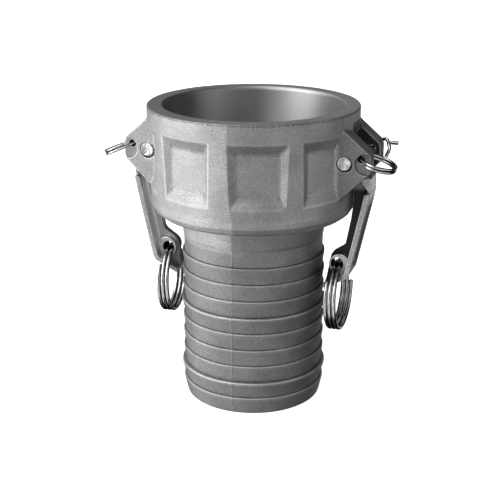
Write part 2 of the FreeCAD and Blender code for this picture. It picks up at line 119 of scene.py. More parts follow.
class Table:
    """A function of two lengths, kept on a fine grid and read between its points."""

    def __init__(self, poly, lo, hi, step, rounding=0.0):
        self.lo, self.step = lo, step
        self.n = [int((hi[i] - lo[i]) / step) + 2 for i in range(2)]
        a = lo[0] + step * np.arange(self.n[0])
        b = lo[1] + step * np.arange(self.n[1])
        ga, gb = np.meshgrid(a, b, indexing="ij")
        base = shrink(poly, rounding) if rounding else poly
        self.v = (poly_sdf(ga, gb, base) - rounding).astype(np.float32)

    def __call__(self, a, b):
        fa = np.clip((a - self.lo[0]) / self.step, 0, self.n[0] - 1.001)
        fb = np.clip((b - self.lo[1]) / self.step, 0, self.n[1] - 1.001)
        ia, ib = fa.astype(np.int32), fb.astype(np.int32)
        ta, tb = fa - ia, fb - ib
        v = self.v
        return ((v[ia, ib] * (1 - ta) + v[ia + 1, ib] * ta) * (1 - tb)
                + (v[ia, ib + 1] * (1 - ta) + v[ia + 1, ib + 1] * ta) * tb)


def both(a, b, k):
    """Common part of two solids, its edge rounded with radius k."""
    if k <= 0:
        return np.maximum(a, b)
    return (np.minimum(-k, np.maximum(a, b))
            + np.sqrt(np.maximum(k + a, 0) ** 2 + np.maximum(k + b, 0) ** 2))


def either(a, b, k):
    """Two solids joined, with a fillet of radius k where they meet."""
    if k <= 0:
        return np.minimum(a, b)
    return (np.maximum(k, np.minimum(a, b))
            - np.sqrt(np.maximum(k - a, 0) ** 2 + np.maximum(k - b, 0) ** 2))


BLOCK = 6


def net(field, lo, hi, h):
    """Closed mesh of the solid where field is negative."""
    n = [int(math.ceil((hi[i] - lo[i]) / h)) + 1 for i in range(3)]
    # the field is worked out in full only in the blocks that the surface may pass
    nb = [-(-m // BLOCK) for m in n]
    mid = [(lo[i] + h * (BLOCK * np.arange(nb[i]) + (BLOCK - 1) / 2)).astype(np.float32) for i in range(3)]
    gx, gy, gz = np.meshgrid(*mid, indexing="ij")
    rough = np.asarray(field(gx, gy, gz), np.float32)
    values = rough
    for k in range(3):
        values = np.repeat(values, BLOCK, axis=k)
    near = np.stack(np.nonzero(np.abs(rough) < 1.35 * BLOCK * h), 1)
    one = np.stack(np.meshgrid(*[np.arange(BLOCK)] * 3, indexing="ij"), -1).reshape(-1, 3)
    step = max(1, int(1.5e6 / len(one)))
    for i in range(0, len(near), step):
        idx = (near[i:i + step, None, :] * BLOCK + one[None, :, :]).reshape(-1, 3)
        x, y, z = [(lo[k] + h * idx[:, k]).astype(np.float32) for k in range(3)]
        values[idx[:, 0], idx[:, 1], idx[:, 2]] = field(x, y, z)
    values = values[:n[0], :n[1], :n[2]]
    neg = (values < 0)
    total = np.zeros([m - 1 for m in n], np.uint8)
    for a in (0, 1):
        for b in (0, 1):
            for c in (0, 1):
                total += neg[a:n[0] - 1 + a, b:n[1] - 1 + b, c:n[2] - 1 + c]
    active = (total > 0) & (total < 8)
    ci, cj, ck = np.nonzero(active)
    index = np.full(active.shape, -1, np.int32)
    index[ci, cj, ck] = np.arange(len(ci), dtype=np.int32)
    acc = np.zeros((len(ci), 3))
    cnt = np.zeros(len(ci))
    corners = [(a, b, c) for a in (0, 1) for b in (0, 1) for c in (0, 1)]
    vals = {c: values[ci + c[0], cj + c[1], ck + c[2]].astype(np.float64) for c in corners}
    for p in corners:
        for axis in range(3):
            if p[axis]:
                continue
            q = list(p)
            q[axis] = 1
            q = tuple(q)
            fa, fb = vals[p], vals[q]
            m = (fa < 0) != (fb < 0)
            t = np.where(m, fa / np.where(m, fa - fb, 1.0), 0.0)
            for k in range(3):
                acc[:, k] += np.where(m, p[k] + (t if k == axis else 0.0), 0.0)
            cnt += m
    acc /= cnt[:, None]
    pts = np.stack([lo[0] + h * (ci + acc[:, 0]), lo[1] + h * (cj + acc[:, 1]),
                    lo[2] + h * (ck + acc[:, 2])], 1)
    quads = []
    for axis in range(3):
        sl_a = [slice(None)] * 3
        sl_b = [slice(None)] * 3
        sl_a[axis] = slice(0, n[axis] - 1)
        sl_b[axis] = slice(1, n[axis])
        a, b = neg[tuple(sl_a)], neg[tuple(sl_b)]
        e = np.stack(np.nonzero(a != b), 1)
        u, v = (axis + 1) % 3, (axis + 2) % 3
        ok = (e[:, u] > 0) & (e[:, v] > 0) & (e[:, u] < n[u] - 1) & (e[:, v] < n[v] - 1)
        e = e[ok]
        inside_first = a[tuple(e.T)]

        def cell(du, dv):
            g = e.copy()
            g[:, u] += du
            g[:, v] += dv
            return index[tuple(g.T)]
        q = np.stack([cell(-1, -1), cell(0, -1), cell(0, 0), cell(-1, 0)], 1)
        q[~inside_first] = q[~inside_first][:, ::-1]
        quads.append(q)
    quads = np.concatenate(quads)
    # bring the corners onto the surface itself
    for _ in range(2):
        f0, g = slope(field, pts, 0.04)
        gg = np.maximum((g * g).sum(1), 0.05)
        move = g * (f0 / gg)[:, None]
        size = np.linalg.norm(move, axis=1)
        move *= np.minimum(1.0, 0.5 * h / np.maximum(size, 1e-9))[:, None]
        pts -= move
    return pts, quads


def slope(field, pts, e):
    x, y, z = pts.T
    f0 = field(x, y, z)
    g = np.stack([(field(x + e, y, z) - field(x - e, y, z)) / (2 * e),
                  (field(x, y + e, z) - field(x, y - e, z)) / (2 * e),
                  (field(x, y, z + e) - field(x, y, z - e)) / (2 * e)], 1)
    return f0, g


def crest(field, pts, e):
    """How far the surface bends outwards, positive on an outside edge."""
    x, y, z = pts.T
    s = (field(x + e, y, z) + field(x - e, y, z) + field(x, y + e, z) + field(x, y - e, z)
         + field(x, y, z + e) + field(x, y, z - e) - 6 * field(x, y, z))
    return s / e


def waves(x, y, z, scale, seed):
    """Smooth unevenness of a casting, about -1 to 1."""
    r = np.random.RandomState(seed)
    out = 0
    for _ in range(5):
        d = r.normal(size=3)
        d = d / np.linalg.norm(d) * (2 * math.pi / scale) * r.uniform(0.6, 1.5)
        out = out + np.sin(x * d[0] + y * d[1] + z * d[2] + r.uniform(0, 6.28))
    return out / 5


# ----------------------------------------------------------- the socket head
HEAD_OUT = [(0, 110.0), (37.7, 110.0), (38.05, 109.65), (38.05, 106.0), (36.95, 75.6),
            (36.57, 73.7), (35.5, 72.0), (33.95, 70.85), (32.2, 70.3), (26.5, 70.3),
            (25.9, 69.8), (25.9, 63.3), (25.5, 61.7), (25.2, 61.3), (0, 61.3)]
HEAD_IN = [(0, 60), (22.5, 60), (22.5, 74.7), (25.4, 78.1), (33.6, 78.1), (33.6, 84.4),
           (32.15, 85.8), (32.15, 108.9), (32.75, 110.0), (33.3, 111.0), (0, 111)]
EAR = [(30.0, 79.2), (33.9, 79.2), (45.2, 90.2), (45.2, 96.0), (44.5, 97.45), (34.5, 106.05),
       (30.0, 106.05)]
t_out = Table(HEAD_OUT[::-1], (0, 58), (50, 114), 0.1, 0.12)
t_in = Table(HEAD_IN, (0, 58), (50, 114), 0.1)
t_ear = Table(EAR, (24, 70), (50, 114), 0.1, 1.5)
RAD = math.pi / 180


def pocket_field(r, phi, z):
    """The sunk panels round the head, negative in the space of a panel."""
    r0, r1, hf, ho = 35.45, 38.0, 11.8 * RAD, 16.2 * RAD
    a = np.abs(phi) / RAD
    c = np.where(a < 50.8, 30.8, np.where(a < 91.55, 70.8, np.where(a < 132.25, 112.3, 152.2)))
    da = (a - c) * RAD
    u, v = np.abs(r * np.sin(da)), r * np.cos(da)
    au, av = r0 * math.sin(hf), r0 * math.cos(hf)
    bu, bv = r1 * math.sin(ho), r1 * math.cos(ho)
    ln = math.hypot(bu - au, bv - av)
    nu, nv = (bv - av) / ln, -(bu - au) / ln
    side = (u - au) * nu + (v - av) * nv
    top = -0.830 * (r - r0) + 0.557 * (z - 99.3)
    low = -0.9035 * (r - r0) - 0.4286 * (z - 84.2)
    floor = r0 - r
    p = both(floor, top, 0.4)
    p = both(p, low, 0.5)
    p = both(p, side, 0.45)
    return p


def head_field(x, y, z):
    r = np.sqrt(x * x + y * y)
    phi = np.arctan2(y, x)
    ax, ay = np.abs(x), np.abs(y)
    body = t_out(r, z)
    body = both(body, -pocket_field(r, phi, z), 0.26)
    ears = both(t_ear(ax, z), ay - 12.9, 0.5)
    body = either(body, ears, 0.8)
    # slot for the arm
    slot = np.maximum(38.1 - ax, ay - 5.6)
    body = both(body, -slot, 0.45)
    # seat and hole for the lock ring
    spot = np.maximum(np.sqrt((ax - 43.6) ** 2 + (z - 93.4) ** 2) - 3.7, 11.8 - ay)
    body = both(body, -spot, 0.22)
    hole = np.sqrt((ax - 42.0) ** 2 + (z - 95.0) ** 2) - np.where(y > 0, 1.2, 1.3)
    body = both(body, -hole, 0.18)
    # pin hole, a little wider just under the ear's face
    bore = np.sqrt((ax - 36.2) ** 2 + (z - 93.2) ** 2) - 2.56
    off = np.where(x < 0, 0.4, 0.07)
    mouth = np.sqrt((x - np.where(x < 0, -36.2, 36.2) - off) ** 2 + (z - 93.2 + 0.8 * off) ** 2) - 2.82
    body = both(body, -np.minimum(bore, np.maximum(mouth, 11.7 - ay)), 0.1)
    body = body + 0.022 * waves(x, y, z, 9.0, 3) * np.clip((r - 34.0) * 0.5, 0, 1)
    # machined inside
    body = both(body, -t_in(r, z), 0.12)
    win = np.maximum(np.maximum(ay - 5.6, np.abs(z - 91.65) - 6.95), np.maximum(28 - ax, ax - 39))
    body = both(body, -win, 0.15)
    return body


pts, quads = net(head_field, (-45.3, -38.7, 60.7), (45.3, 38.7, 110.7), GRID_HEAD)
hx, hy, hz = pts.T
hr = np.sqrt(hx * hx + hy * hy)
# painted highlight on outward edges and painted shade in creases, from how far the surface bends
edge = np.clip(crest(head_field, pts, 0.35), -1.5, 1.5)
# left of the front parting line the casting was dressed and is lighter
split = np.where(hz > 70.2, 3.4 + np.interp(hz, [76.5, 79.0, 86.0], [0.45, 0.1, -0.75]), 0.0)
split = split + 0.2 * waves(hx * 0, hy * 0, hz, 6.0, 8)
left = 1.0 / (1.0 + np.exp(np.clip((hx - split) / 0.13, -30, 30)))
left = np.where(hy < 0, left, 1 - left)
left = left / (1.0 + np.exp(np.clip((61.6 - hz) / 0.12, -30, 30)))
machined = ((t_in(hr, hz) < 0.4) & (hr < 33.9) | (hz > 109.9)).astype(float)
# the turned rim has no bright edge, and a thin dark line where the casting starts
edge = np.where(hz > 109.0, -1.0 * np.exp(-((hz - 109.5) / 0.4) ** 2) * (hr > 37.5), edge)
# painted shade under the head's lower edge, none of it on the neck's step
edge = edge - 1.0 * np.exp(-((hz - 70.75) / 0.28) ** 2) * (hr > 29.0) * (0.75 + 0.35 * waves(hx, hy, hz, 2.2, 5))
edge = np.where((hz < 64.0) & (hr < 28), 0.0, edge)
# file marks along the left side of the parting line
marks = left * np.exp(-np.abs(hx - split) / 6.0) * (hy < 0)
# painted shade in the slots between the ears
slot_shade_pin_ring = (np.clip((np.abs(hx) - 36.9) / 0.4, 0, 1) * np.clip((5.9 - np.abs(hy)) / 0.15, 0, 1)
          * np.clip((106.3 - hz) / 0.3, 0, 1) * (hz > 79.5))
# painted shade in the lock ring holes
slot_shade_pin_ring = np.maximum(slot_shade_pin_ring, np.clip((1.55 - np.hypot(np.abs(hx) - 42.0, hz - 95.0)) / 0.2, 0, 1)
                    * (np.abs(hy) < 11.5))
# a darker ring in the gap round the pins' ends
slot_shade_pin_ring = np.maximum(slot_shade_pin_ring, np.clip((3.3 - np.hypot(np.abs(hx) - 36.2 + 0.3 * (hx < 0), hz - 92.95)) / 0.15, 0, 1)
                    * np.clip((12.72 - np.abs(hy)) / 0.1, 0, 1) * (np.abs(hy) > 8))
# painted light under the head's lower edge and round towards the right ear, and painted shade on the right ears' faces,
# most on the rear one
turn = np.degrees(np.arctan2(hy, hx)) % 180.0
on_ear = (np.clip((np.abs(hx) - 33.6) / 1.0, 0, 1) * np.clip((13.3 - np.abs(hy)) / 0.3, 0, 1)
          * np.clip((0.6 - t_ear(np.abs(hx), hz)) / 0.4, 0, 1))
tone_h = (1.0 + 0.22 * np.clip((77.5 - hz) / 2.5, 0, 1)
          + 0.34 * np.clip((turn - 112.0) / 30.0, 0, 1) * (1 - on_ear)
          - on_ear * (hx > 0) * np.where(hy > 0, 0.45, 0.26))
neck_h = (hz < 70.6) & (hr < 27.5)
# painted shade: the rim and the bore are darker on their left
rim_left_shade = 1.0 - 0.26 * np.clip((-hx - 4.0) / 16.0, 0, 1)
tone_h = np.where(machined > 0.5, rim_left_shade, tone_h)
# the neck: lighter on its dressed left, with painted shade towards its right
tone_h = np.where(neck_h, 0.9 + 0.1 * left - 0.10 * np.clip((turn - 95.0) / 40.0, 0, 1), tone_h)
head = make_object("cast_head", pts, quads, attrs={
    "tone_and_shade": tone_h, "edge": np.where(hz > 109.3, edge, edge * 1.1), "left": left, "machined": machined, "marks": marks, "slot_shade_pin_ring_mask": slot_shade_pin_ring,
    "bore": ((hr < 33.7) & (hz > 84.0) & (hz < 109.4)).astype(float)})


# ----------------------------------------------------------- the hose shank
def densify(points, longest):
    out = []
    n = len(points)
    for i in range(n):
        a, b = np.array(points[i], float), np.array(points[(i + 1) % n], float)
        most = longest((a + b) / 2) if callable(longest) else longest
        k = max(1, int(math.ceil(np.linalg.norm(b - a) / most)))
        for j in range(k):
            out.append(a + (b - a) * j / k)
    return np.array(out)


def rounded(points, radii, steps=4):
    """Closed outline with arcs at the corners that have a radius."""
    out = []
    n = len(points)
    for i in range(n):
        p = np.array(points[i], float)
        r = radii[i]
        if r <= 0:
            out.append(p)
            continue
        a = np.array(points[i - 1], float) - p
        b = np.array(points[(i + 1) % n], float) - p
        la, lb = np.linalg.norm(a), np.linalg.norm(b)
        a, b = a / la, b / lb
        half = math.acos(max(-1.0, min(1.0, float(a @ b)))) / 2
        if half > 1.5:
            out.append(p)
            continue
        reach = min(r / math.tan(half), 0.48 * la, 0.48 * lb)
        rr = reach * math.tan(half)
        m = (a + b) / np.linalg.norm(a + b)
        c = p + m * (rr / math.sin(half))
        s, e = p + a * reach - c, p + b * reach - c
        a0, a1 = math.atan2(s[1], s[0]), math.atan2(e[1], e[0])
        d = (a1 - a0 + math.pi) % (2 * math.pi) - math.pi
        for j in range(steps + 1):
            t = a0 + d * j / steps
            out.append(c + rr * np.array([math.cos(t), math.sin(t)]))
    return [tuple(q) for q in out]


def lathe(profile, angles, shape=None):
    """Closed outline turned round the Z axis."""
    prof = np.asarray(profile)
    n, m = len(prof), len(angles)
    r = np.repeat(prof[:, 0][:, None], m, 1)
    z = np.repeat(prof[:, 1][:, None], m, 1)
    t = np.repeat(np.asarray(angles)[None, :], n, 0)
    if shape is not None:
        r = r + shape(r, t, z)
    pts = np.stack([r * np.cos(t), r * np.sin(t), z], -1).reshape(-1, 3)
    i, j = np.meshgrid(np.arange(n), np.arange(m), indexing="ij")
    i2, j2 = (i + 1) % n, (j + 1) % m
    q = np.stack([i * m + j, i2 * m + j, i2 * m + j2, i * m + j2], -1).reshape(-1, 4)
    area = float(np.sum(prof[:, 0] * np.roll(prof[:, 1], -1) - np.roll(prof[:, 0], -1) * prof[:, 1]))
    if area > 0:
        q = q[:, ::-1]
    return pts, q


outline, rads = [], []


def pt(r, z, rad=0.0):
    outline.append((r, z))
    rads.append(rad)


pt(22.9, 64.2)
pt(25.35, 64.2)
pt(25.6, 62.9)
pt(25.6, 62.2, 0.2)
pt(25.45, 56.45, 0.25)
for i in range(9):
    big = {3: 26.65, 7: 26.9}.get(i, 26.25)
    top = 56.2 - 6.2 * i
    pt(25.45, top, 0.08)
    pt(big, top - 0.06, 0.36 if big > 26.5 else 0.13)
    pt(big, top - 1.05, 0.6)
    if i < 8:
        pt(25.45, top - 5.9, 0.5)
pt(25.25, 1.2, 0.8)
pt(25.0, 0.45, 0.3)
pt(24.35, 0.0, 0.25)
pt(23.1, 0.0, 0.15)
pt(22.5, 0.6, 0.2)
pt(22.5, 63.8, 0.0)
prof = densify(rounded(outline, rads, 4), 0.75)
prof = densify(prof, lambda a: 0.16 if a[0] > 25.3 and min(abs(a[1] - 56.2 + 6.2 * k) for k in range(9)) < 0.8 else 0.9)
ang = []
for k in range(-90, 270, 2):
    ang.append(k * RAD)
fine = [-1.6, -1.2, -0.9, -0.7, -0.5, -0.35, -0.2, -0.08, 0.08, 0.2, 0.35, 0.5, 0.7, 0.9, 1.2, 1.6]
for c in (-90, 90):
    ang += [(c + f) * RAD for f in fine]
ang = sorted(set(round(a, 7) for a in ang))
ang = [a for a in ang if a < 270 * RAD - 0.0008]
ang = np.array(ang)


def shank_shape(r, t, z):
    """Parting line of the casting, and its slight unevenness."""
    outer = np.clip((r - 24.6) * 2, 0, 1) * np.clip((z - 0.9) / 0.6, 0, 1)
    d = np.zeros_like(r)
    for c in (-90.0, 90.0, 270.0):
        a = t / RAD - c
        d += 0.1 * np.exp(-(a / 0.33) ** 2)
        d += 0.045 / (1 + np.exp(np.clip(a / 0.16, -30, 30))) * np.exp(-(a / 22.0) ** 2)
    x, y = r * np.cos(t), r * np.sin(t)
    return outer * (d + 0.02 * waves(x, y, z, 11.0, 21))


pts, quads = lathe(prof, ang, shank_shape)
sx, sy, sz = pts.T
n_prof = len(prof)
# painted highlight just under each barb's shoulder, wider on the two big barbs, and painted shade in the valley above
# it
e_prof = np.zeros(n_prof)
for i in range(n_prof):
    r, z = prof[i]
    if r < 24.8:
        continue
    for k in range(9):
        big = {3: 26.65, 7: 26.9}.get(k, 26.25)
        top = 56.2 - 6.2 * k
        wide = big > 26.5
        e_prof[i] += (1.5 * math.exp(-(((z - top + (0.28 if wide else 0.14)) / (0.34 if wide else 0.2)) ** 2))
                      * (1.0 if r > big - 0.45 else 0.0))
        e_prof[i] -= 1.5 * math.exp(-(((z - top - 0.06) / 0.20) ** 2)) * (1.0 if r < 25.62 else 0.0)
edge = np.repeat(e_prof[:, None], len(ang), 1).ravel()
# painted highlight along the parting seam, with painted shade just beside it
seam = np.zeros(len(pts))
tt = np.degrees(np.arctan2(sy, sx))
for c in (-90.0, 90.0):
    seam += np.exp(-((tt - c) / 0.4) ** 2) - 0.7 * np.exp(-((tt - c - 0.9) / 0.5) ** 2)
sr = np.sqrt(sx * sx + sy * sy)
edge = np.clip(edge + 0.5 * seam * (sr > 24.9), -1.5, 1.5)
# the left side of the neck was dressed with the head, and fades downwards
neck = 1.0 / (1.0 + np.exp(np.clip((sx - 0.1) / 0.12, -30, 30)))
neck = np.where(sy < 0, neck, 1 - neck) * (0.12 + 0.88 * np.clip((sz - 61.2) / 0.6, 0, 1)) * (sr > 24.9)
tone_s = np.where(sz > 61.2, 0.9 + 0.1 * neck, 0.86)
# painted shade on the skin behind each arm, where its eye and ring hang close to the barbs
arm_shade = np.exp(-(np.minimum(np.abs(tt), 180 - np.abs(tt)) / 21.0) ** 2)
arm_shade = arm_shade * np.interp(sz, [12, 20, 34, 44, 50, 57, 60], [0, 0.25, 0.36, 0.5, 0.58, 0.42, 0])
tone_s = tone_s * (1 - arm_shade * (sr > 24.4))
shank = make_object("cast_shank", pts, quads, attrs={
    "tone_and_shade": tone_s, "edge": edge, "left": neck, "machined": (sr < 23.4).astype(float),
    "marks": 0.5 * neck, "slot_shade_pin_ring_mask": np.zeros(len(pts)), "bore": np.zeros(len(pts))})

# ------------------------------------------------------------------- gasket
g = [(25.4, 78.1), (33.35, 78.1), (33.35, 84.45), (25.4, 84.45)]
gprof = densify(rounded(g, [0.7] * 4, 5), 0.8)
pts, quads = lathe(gprof, np.arange(0, 360, 3) * RAD)
gasket = make_object("gasket_seal", pts, quads)


# ----------------------------------------------------------------- cam arms
def hull(circles, steps=20):
    """Convex outline round some circles."""
    p = []
    for cx, cz, r in circles:
        for k in range(steps * 2):
            t = math.pi * k / steps
            p.append((cx + r * math.cos(t), cz + r * math.sin(t)))
    p = sorted(set(p))

    def half(seq):
        out = []
        for q in seq:
            while len(out) > 1 and ((out[-1][0] - out[-2][0]) * (q[1] - out[-2][1])
                                    - (out[-1][1] - out[-2][1]) * (q[0] - out[-2][0])) <= 0:
                out.pop()
            out.append(q)
        return out
    a, b = half(p), half(p[::-1])
    return a[:-1] + b[:-1]


WEB = [(39.2, 94.8), (42.2, 89.6), (43.7, 87.3), (44.1, 86.2), (44.25, 83.0), (43.3, 76.5),
       (37.6, 50.8), (36.5, 49.2), (28.4, 45.0), (28.0, 46.4), (30.0, 57.3), (34.9, 60.6),
       (36.75, 70.6), (37.4, 76.0), (37.6, 80.5), (38.2, 84.9), (34.6, 89.9), (36.2, 93.2)]
KNEE = [(40.7, 86.2), (43.2, 87.3), (44.1, 86.5), (44.25, 83.0), (43.62, 78.6), (42.5, 78.9),
        (43.1, 82.3), (41.3, 84.4)]
FLANGE = [(44.2, 81.6), (43.3, 76.5), (37.6, 50.8), (36.5, 49.2), (28.4, 45.0), (28.05, 46.6),
          (34.9, 50.25), (35.75, 51.4), (41.35, 76.9), (42.1, 81.0)]
CHANNEL = [(43.9, 76.6), (38.45, 52.2), (36.95, 53.6), (42.35, 75.4)]
A0, A1 = (24, 42), (48, 100)
web_out = rounded(WEB, [0, 0, 0, 0, 1.5, 3, 1, 1, 0, 0, 3.0, 3.0, 0, 1, 1, 3, 0, 0], 6)
t_web = Table(web_out, A0, A1, 0.08)
t_knee = Table(KNEE, A0, A1, 0.08, 0.12)
t_flange = Table(FLANGE, A0, A1, 0.08, 0.3)
t_cam = Table(hull([(36.2, 93.2, 3.7), (31.6, 92.2, 2.5)]), A0, A1, 0.08)
t_channel = Table(CHANNEL, A0, A1, 0.08)


def arm_field(x, y, z):
    ay = np.abs(y)
    web = both(t_web(x, z), ay - 1.6, 0.3)
    flange = both(t_flange(x, z), ay - 6.5, 0.38)
    body = either(web, flange, 1.5)
    eye = both(np.sqrt((x - 33.4) ** 2 + (z - 53.8) ** 2) - 3.9, ay - 3.4, 0.45)
    body = either(body, eye, 0.5)
    knee = both(t_knee(x, z), ay - 5.3, 0.35)
    body = either(body, knee, 0.6)
    cam = both(t_cam(x, z), ay - 5.3, 0.35)
    body = either(body, cam, 0.5)
    body = np.maximum(body, t_all(x, z))
    body = body + 0.012 * waves(x, y, z, 5.0, 12)
    hole = np.sqrt((x - 36.2) ** 2 + (z - 93.2) ** 2) - 2.62
    body = both(body, -hole, 0.2)
    ring = both(np.sqrt((x - 32.45) ** 2 + (z - 53.9) ** 2) - 2.27, z - 57.0, 0.5)
    body = both(body, -ring, 0.3)
    ch = np.maximum(t_channel(x, z), ay - 3.9)
    body = both(body, -ch, 0.25)
    return body


class AllOutlines:
    """Keeps the fillets inside the outline that the pieces share."""

    def __call__(self, x, z):
        m = np.minimum(np.minimum(t_web(x, z), t_flange(x, z)), np.minimum(t_cam(x, z), t_knee(x, z)))
        return np.minimum(m, np.sqrt((x - 33.4) ** 2 + (z - 53.8) ** 2) - 3.9)


t_all = AllOutlines()
arm_pts, arm_quads = net(arm_field, (27.4, -7.1, 44.4), (44.9, 7.1, 97.5), GRID_ARM)
ax_, ay_, az_ = arm_pts.T
_, grad = slope(arm_field, arm_pts, 0.05)
grad /= np.maximum(np.linalg.norm(grad, axis=1), 1e-6)[:, None]
a_edge = np.clip(crest(arm_field, arm_pts, 0.3), -1.5, 1.5)
# ground faces: the edges of the flange, its outer face, and the face of the eye
side_face = np.clip((np.abs(ay_) - 6.2) / 0.2, 0, 1)
outer_face = np.clip((grad[:, 0] * 0.977 - grad[:, 2] * 0.212 - 0.72) * 6, 0, 1)
outer_face = outer_face * (0.3 + 0.7 * np.clip((az_ - 78.6) / 0.5, 0, 1))
deep = np.clip(-t_channel(ax_, az_) * 3, 0, 1) * (np.abs(ay_) < 4.0)
eye_face = np.clip((np.abs(ay_) - 3.1) / 0.12, 0, 1) * (np.hypot(ax_ - 33.4, az_ - 53.8) < 4.2)
knee_face = np.clip((np.abs(ay_) - 5.0) / 0.2, 0, 1) * (az_ > 77)
ground = np.clip(np.maximum.reduce([side_face, outer_face * (1 - deep), eye_face, knee_face]), 0, 1)
# the flange's channel is left out of the ground faces and gets painted shade, down to where it meets the eye
channel_shade = np.clip(deep * 1.5, 0, 1)
arm_attrs = {"edge": a_edge, "ground": ground, "eye": eye_face, "channel_shade": channel_shade}
flat = np.clip((2.3 - np.abs(ay_)) / 0.4, 0, 1)
inner = 1 - flat
hole_in = np.clip((2.6 - np.hypot(ax_ - 32.45, az_ - 53.9)) / 0.2, 0, 1)
outside = np.clip(grad[:, 0] * 2, 0, 1)
# the inner face of the flange, and the narrow edge of the web and the eye
lean = grad[:, 0] * 0.977 - grad[:, 2] * 0.212
within = np.clip((-lean - 0.35) * 3, 0, 1)
far_in = np.clip((t_flange(ax_, az_) - 0.6) / 0.4, 0, 1)
rim_in = within * far_in * (az_ < 84) * np.clip((0.1 - ay_) / 0.4, 0, 1)
low = np.clip((51.6 - az_) / 0.8, 0, 1) * np.clip(grad[:, 2] + 0.3, 0, 1)
# painted shade on the right arm: its web dark below the knee, as in the body's shadow, and its ring hole dark
tone_r = (0.85 - 0.70 * flat * (1 - outside) * np.clip((82.5 - az_) / 1.5, 0, 1)) * (1 - 0.8 * hole_in)
# painted light on the left arm, most on the flange's inner face, with painted shade on the narrow edge of the web and
# the eye, on the flange's low faces and in the ring hole
tone_l = ((1.45 + 0.3 * inner + 1.5 * within * (1 - far_in)) * (1 - 0.88 * rim_in) * (1 - 0.7 * low)
          * (1 - 0.8 * hole_in))
arm_r = make_object("cam_arm_r", arm_pts, arm_quads, attrs=dict(arm_attrs, tone_and_shade=tone_r))
arm_l = make_object("cam_arm_l", arm_pts * np.array([-1, -1, 1]), arm_quads,
                    attrs=dict(arm_attrs, tone_and_shade=tone_l))


# --------------------------------------------------------------- pivot pins
def pin_mesh(side):
    h = 12.65
    half = [(0.0, h - 0.22), (0.8, h - 0.2), (1.5, h - 0.14), (1.95, h - 0.04), (2.15, h - 0.005),
            (2.3, h - 0.05), (2.42, h - 0.17), (2.49, h - 0.36), (2.5, h - 0.6), (2.5, h - 1.4),
            (2.5, 6.0), (2.5, 0.0)]
    prof = [(r, y) for r, y in half] + [(r, -y) for r, y in half[::-1][1:]]
    m = 48
    pts, quads, tris = [], [], []
    ring_of = []
    for r, y in prof:
        if r == 0.0:
            ring_of.append([len(pts)])
            pts.append((side * 36.2, y, 93.2))
            continue
        ids = []
        for k in range(m):
            t = 2 * math.pi * k / m
            # the end was peened, so its face is a little uneven
            bump = 0.0
            if abs(y) > h - 0.3 and r < 2.2:
                bump = 0.035 * math.sin(3 * t + 2.2 * r + side) * min(1.0, r / 0.8)
                if side > 0:
                    bump += 0.34 * max(0.0, r * math.sin(t + 0.3) - 0.2) - 0.2 * r * math.cos(t)
                else:
                    bump += 0.06 * math.sin(5 * t + 3.1 * r) - 0.05 * r * math.cos(t)
            ids.append(len(pts))
            pts.append((side * 36.2 + r * math.cos(t), y - bump * (1 if y > 0 else -1),
                        93.2 + r * math.sin(t)))
        ring_of.append(ids)
    for a, b in zip(ring_of[:-1], ring_of[1:]):
        if len(a) == 1:
            for k in range(m):
                tris.append((a[0], b[(k + 1) % m], b[k]))
        elif len(b) == 1:
            for k in range(m):
                tris.append((b[0], a[k], a[(k + 1) % m]))
        else:
            for k in range(m):
                quads.append((a[k], a[(k + 1) % m], b[(k + 1) % m], b[k]))
    return np.array(pts), np.array(quads), np.array(tris)


pins = {}
for name, side in (("r", 1), ("l", -1)):
    p, q, t = pin_mesh(side)
    pins[name] = make_object("pivot_pin_" + name, p, q, t)


# -------------------------------------------------------------------- wires
def tube(path, rad, sides=18, axis=None):
    """Round wire along a path of points, with rounded ends."""
    path = np.asarray(path, float)
    tan = np.gradient(path, axis=0)
    tan /= np.linalg.norm(tan, axis=1)[:, None]
    ref = np.array([0.0, 0.0, 1.0]) if abs(tan[0][2]) < 0.9 else np.array([1.0, 0, 0])
    n0 = ref - tan[0] * (ref @ tan[0])
    n0 /= np.linalg.norm(n0)
    rings, pts = [], []

    def ring(c, t, nrm, r):
        b = np.cross(t, nrm)
        ids = []
        for k in range(sides):
            a = 2 * math.pi * k / sides
            ids.append(len(pts))
            pts.append(c + r * (math.cos(a) * nrm + math.sin(a) * b))
        rings.append(ids)

    nrm = n0
    caps = [(0.0, 0.80), (0.07, 0.93), (0.2, 1.0)]
    last = path[-1]
    for i, c in enumerate(path):
        t = tan[i]
        nrm = nrm - t * (nrm @ t)
        nrm /= np.linalg.norm(nrm)
        if i == 0:
            for d, f in caps:
                ring(c + t * d * rad, t, nrm, rad * f)
        elif i == len(path) - 1:
            for d, f in caps[::-1]:
                ring(last - t * d * rad, t, nrm, rad * f)
        elif 0.25 * rad < np.linalg.norm(c - path[0]) or i > 3:
            ring(c, t, nrm, rad)
    quads, tris = [], []
    for a, b in zip(rings[:-1], rings[1:]):
        for k in range(sides):
            quads.append((a[k], a[(k + 1) % sides], b[(k + 1) % sides], b[k]))
    c0, c1 = len(pts), len(pts) + 1
    pts.append(path[0])
    pts.append(path[-1])
    for k in range(sides):
        tris.append((c0, rings[0][(k + 1) % sides], rings[0][k]))
        tris.append((c1, rings[-1][k], rings[-1][(k + 1) % sides]))
    pts = np.array(pts)
    if axis is None:
        return pts, np.array(quads), np.array(tris)
    # how far each side of the wire faces along the axis, for painted shade between turns
    turn_side_shade = np.zeros(len(pts))
    axis = np.array(axis, float) / np.linalg.norm(axis)
    for ids in rings:
        c = pts[ids].mean(axis=0)
        d = pts[ids] - c
        d /= np.maximum(np.linalg.norm(d, axis=1), 1e-9)[:, None]
        turn_side_shade[ids] = np.abs(d @ axis)
    return pts, np.array(quads), np.array(tris), turn_side_shade


